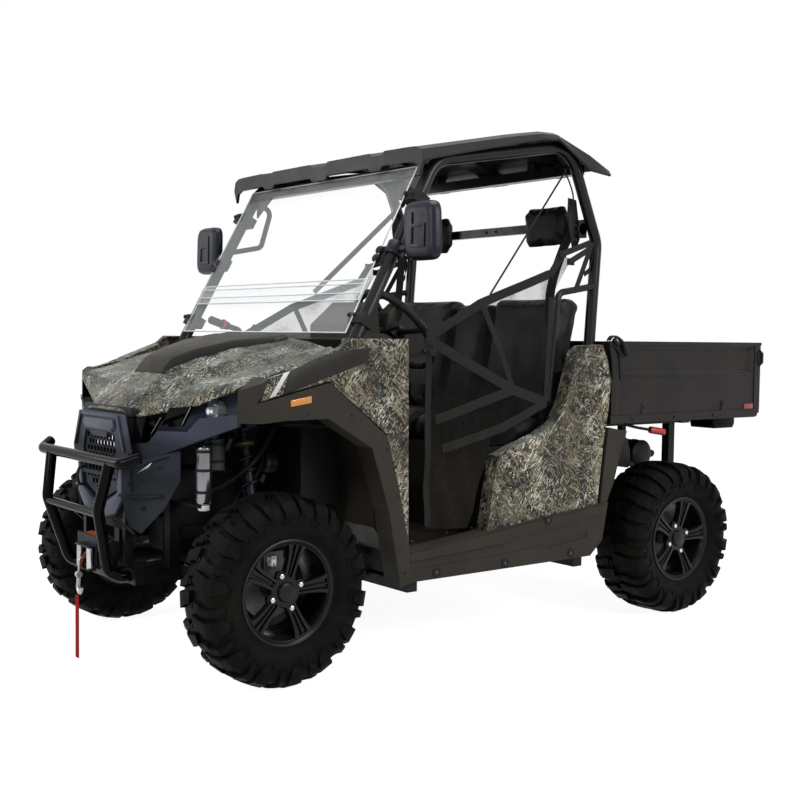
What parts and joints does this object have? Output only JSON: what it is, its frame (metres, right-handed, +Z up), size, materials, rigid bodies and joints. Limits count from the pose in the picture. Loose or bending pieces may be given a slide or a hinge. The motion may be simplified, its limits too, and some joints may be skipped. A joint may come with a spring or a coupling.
{
  "type": "side by side utility vehicle",
  "caption": "Open side by side utility vehicle with roll cage, roof, windshield, bench seat, side nets, winch bumper and dumping cargo bed.",
  "frame": {"origin": "on the ground under the middle of the bounding box", "axes": "+Z up, -Y towards the nose, +X towards the driver's side"},
  "size_m": [1.63, 2.9837, 1.9259],
  "materials": {
    "tyre": "moulded rubber",
    "wheel_black": "satin black cast wheel",
    "frame_black": "black powder coat",
    "cage_black": "semi-gloss black powder coat",
    "bumper_black": "gloss black",
    "bed_steel": "dark brown-black textured coat",
    "camo": "woodland camouflage film",
    "trim_plastic": "grained dark plastic",
    "bezel_plastic": "dark blue-black plastic",
    "roof_plastic": "black moulded roof",
    "lens": "clear lamp lens",
    "lamp_red": "red lamp lens",
    "clear_sheet": "clear polycarbonate",
    "seat_vinyl": "black vinyl",
    "net_mesh": "black mesh and webbing",
    "red_webbing": "red webbing",
    "rubber": "black rubber",
    "cast_metal": "cast metal",
    "bright_metal": "bright metal",
    "bottle_plastic": "translucent grey plastic",
    "hook_steel": "zinc plated steel"
  },
  "bodies": {
    "chassis": {"chassis_frame": "frame_black", "hitch_receiver": "frame_black", "front_tower": "frame_black", "rear_frame": "frame_black", "windshield_clamps": "rubber", "skid_plate": "trim_plastic", "floor_pan": "trim_plastic", "engine_block": "cast_metal", "suspension_arms": "frame_black", "shock_absorbers": "frame_black", "drive_shafts": "rubber", "cage_left": "cage_black", "cage_right": "cage_black", "cage_cross_bars": "cage_black", "roof": "roof_plastic", "windshield": "clear_sheet", "dashboard": "trim_plastic", "steering_column": "frame_black", "seat_base": "trim_plastic", "seat_cushions": "seat_vinyl", "seat_backs": "seat_vinyl", "head_rests": "seat_vinyl", "side_nets": "net_mesh", "mirrors": "roof_plastic", "front_fascia": "bezel_plastic", "grille": "bezel_plastic", "headlamps": "lens", "front_fenders": "trim_plastic", "cowl_panels": "camo", "hip_panels": "camo", "rear_fenders": "trim_plastic", "rocker_panels": "trim_plastic", "bull_bar": "bumper_black", "winch": "frame_black", "winch_hook": "hook_steel", "hook_strap": "red_webbing", "canister": "bright_metal", "coolant_bottle": "bottle_plastic", "battery_box": "frame_black", "muffler": "bright_metal"},
    "knuckle_left": {"knuckle_left": "cast_metal"},
    "knuckle_right": {"knuckle_right": "cast_metal"},
    "steering": {"steering_wheel": "rubber"},
    "hood": {"hood": "camo"},
    "bed": {"cargo_bed": "bed_steel", "tail_lamps": "lamp_red", "bed_lever": "frame_black"},
    "tailgate": {"tailgate": "bed_steel"},
    "wheel_front_left": {"tyre_front_left": "tyre", "rim_front_left": "wheel_black"},
    "wheel_front_right": {"tyre_front_right": "tyre", "rim_front_right": "wheel_black"},
    "wheel_rear_left": {"tyre_rear_left": "tyre", "rim_rear_left": "wheel_black"},
    "wheel_rear_right": {"tyre_rear_right": "tyre", "rim_rear_right": "wheel_black"}
  },
  "joints": [
    {"name": "steering_turn", "type": "hinge", "parent": "chassis", "child": "steering", "pos_m": [0.33, -0.3475, 1.165], "axis": [0, 0.766, 0.6428], "range_deg": [-270, 270]},
    {"name": "steer_left", "type": "hinge", "parent": "chassis", "child": "knuckle_left", "pos_m": [0.52, -1.0275, 0.315], "axis": [0, 0, 1], "range_deg": [-28, 28]},
    {"name": "steer_right", "type": "hinge", "parent": "chassis", "child": "knuckle_right", "pos_m": [-0.52, -1.0275, 0.315], "axis": [0, 0, 1], "range_deg": [-28, 28]},
    {"name": "hood_lift", "type": "hinge", "parent": "chassis", "child": "hood", "pos_m": [0, -0.7755, 1.139], "axis": [-1, 0, 0], "range_deg": [0, 50]},
    {"name": "bed_dump", "type": "hinge", "parent": "chassis", "child": "bed", "pos_m": [0, 1.3775, 0.795], "axis": [-1, 0, 0], "range_deg": [0, 42]},
    {"name": "tailgate_drop", "type": "hinge", "parent": "bed", "child": "tailgate", "pos_m": [0, 1.4625, 0.855], "axis": [-1, 0, 0], "range_deg": [0, 90]},
    {"name": "wheel_front_left_spin", "type": "hinge", "parent": "knuckle_left", "child": "wheel_front_left", "pos_m": [0.59, -1.0275, 0.315], "axis": [1, 0, 0], "continuous": true},
    {"name": "wheel_front_right_spin", "type": "hinge", "parent": "knuckle_right", "child": "wheel_front_right", "pos_m": [-0.59, -1.0275, 0.315], "axis": [1, 0, 0], "continuous": true},
    {"name": "wheel_rear_left_spin", "type": "hinge", "parent": "chassis", "child": "wheel_rear_left", "pos_m": [0.61, 0.8745, 0.315], "axis": [1, 0, 0], "continuous": true},
    {"name": "wheel_rear_right_spin", "type": "hinge", "parent": "chassis", "child": "wheel_rear_right", "pos_m": [-0.61, 0.8745, 0.315], "axis": [1, 0, 0], "continuous": true}
  ],
  "couplings": [
    {"joint": "steer_left", "follows": "steering_turn", "ratio": 0.1037},
    {"joint": "steer_right", "follows": "steering_turn", "ratio": 0.1037}
  ]
}
